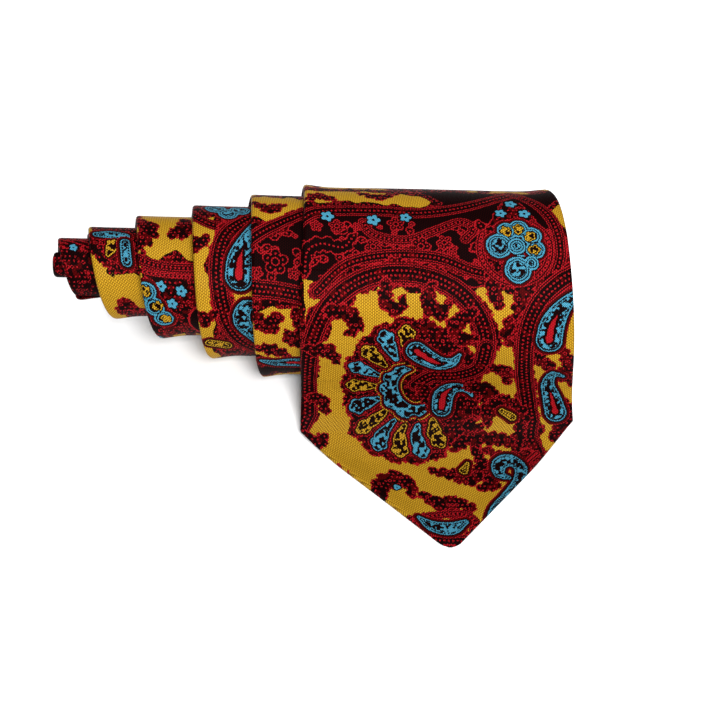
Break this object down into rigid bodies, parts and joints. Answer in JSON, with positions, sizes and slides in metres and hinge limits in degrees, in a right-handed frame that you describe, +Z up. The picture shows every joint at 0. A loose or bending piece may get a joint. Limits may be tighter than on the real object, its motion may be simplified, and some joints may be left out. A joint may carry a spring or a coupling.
{
  "type": "necktie",
  "caption": "Rolled and telescoped silk necktie: pointed blade lying in front, inner turns drawn out sideways, tail folded back inside, with canvas, lining, keeper loop and seams.",
  "frame": {"origin": "middle of the base of the bounding box, on the table", "axes": "+X along the roll towards its wide end, +Y away from the point of the blade, +Z up"},
  "size_m": [0.1836, 0.1244, 0.0677],
  "materials": {
    "silk": "satin",
    "canvas": "matte",
    "lining": "satin",
    "thread": "matte",
    "label": "satin"
  },
  "bodies": {
    "roll": {"blade_shell_turn_1": "silk", "blade_canvas_turn_1": "canvas", "blade_slip_stitch_1": "thread", "blade_bar_tack": "thread", "keeper_loop": "silk", "makers_label": "label", "care_label": "label"},
    "flap_top": {"blade_shell_top": "silk", "blade_canvas_top": "canvas", "blade_tipping_top": "lining"},
    "flap_front": {"blade_shell_front": "silk", "blade_canvas_front": "canvas", "blade_tipping_front": "lining"},
    "flap_point": {"blade_shell_point": "silk", "blade_canvas_point": "canvas", "blade_tipping_point": "lining"},
    "turn_2": {"blade_shell_turn_2": "silk", "blade_canvas_turn_2": "canvas", "blade_slip_stitch_2": "thread", "tail_shell_end": "silk", "tail_canvas_end": "canvas", "tail_slip_stitch_end": "thread", "tail_tipping": "lining", "tail_bar_tack": "thread"},
    "turn_3": {"blade_shell_turn_3": "silk", "blade_canvas_turn_3": "canvas", "blade_slip_stitch_3": "thread", "tail_shell_turn_3": "silk", "tail_canvas_turn_3": "canvas", "tail_slip_stitch_3": "thread"},
    "turn_4": {"blade_shell_turn_4": "silk", "blade_canvas_turn_4": "canvas", "blade_slip_stitch_4": "thread", "tail_shell_turn_4": "silk", "tail_canvas_turn_4": "canvas", "tail_slip_stitch_4": "thread"},
    "turn_5": {"neck_shell_turn_5": "silk", "neck_canvas_turn_5": "canvas", "neck_slip_stitch_5": "thread", "neck_inner_shell_5": "silk", "neck_inner_canvas_5": "canvas", "neck_inner_stitch_5": "thread"},
    "core": {"neck_shell_core": "silk", "neck_canvas_core": "canvas"}
  },
  "joints": [
    {"name": "flap_lift", "type": "hinge", "parent": "roll", "child": "flap_top", "pos_m": [0.04425, 0.01881, 0.06664], "axis": [-1, 0, 0], "range_deg": [0, 50]},
    {"name": "flap_straighten", "type": "hinge", "parent": "flap_top", "child": "flap_front", "pos_m": [0.04425, -0.00317, 0.05037], "axis": [-1, 0, 0], "range_deg": [0, 50]},
    {"name": "flap_bend", "type": "hinge", "parent": "flap_front", "child": "flap_point", "pos_m": [0.04425, -0.01301, 0.00637], "axis": [-1, 0, 0], "range_deg": [-85, 0]},
    {"name": "telescope_2", "type": "slide", "parent": "roll", "child": "turn_2", "axis": [1, 0, 0], "range_m": [-0.003, 0.018]},
    {"name": "telescope_3", "type": "slide", "parent": "turn_2", "child": "turn_3", "axis": [1, 0, 0], "range_m": [-0.00335, 0.02003]},
    {"name": "telescope_4", "type": "slide", "parent": "turn_3", "child": "turn_4", "axis": [1, 0, 0], "range_m": [-0.00335, 0.02003]},
    {"name": "telescope_5", "type": "slide", "parent": "turn_4", "child": "turn_5", "axis": [1, 0, 0], "range_m": [-0.0029, 0.01734]},
    {"name": "telescope_6", "type": "slide", "parent": "turn_5", "child": "core", "axis": [1, 0, 0], "range_m": [-0.00165, 0.00983]}
  ],
  "couplings": [
    {"joint": "flap_straighten", "follows": "flap_lift", "ratio": 1},
    {"joint": "flap_bend", "follows": "flap_lift", "ratio": -1.7},
    {"joint": "telescope_3", "follows": "telescope_2", "ratio": 1.1123},
    {"joint": "telescope_4", "follows": "telescope_2", "ratio": 1.1123},
    {"joint": "telescope_5", "follows": "telescope_2", "ratio": 0.96257},
    {"joint": "telescope_6", "follows": "telescope_2", "ratio": 0.54546}
  ]
}
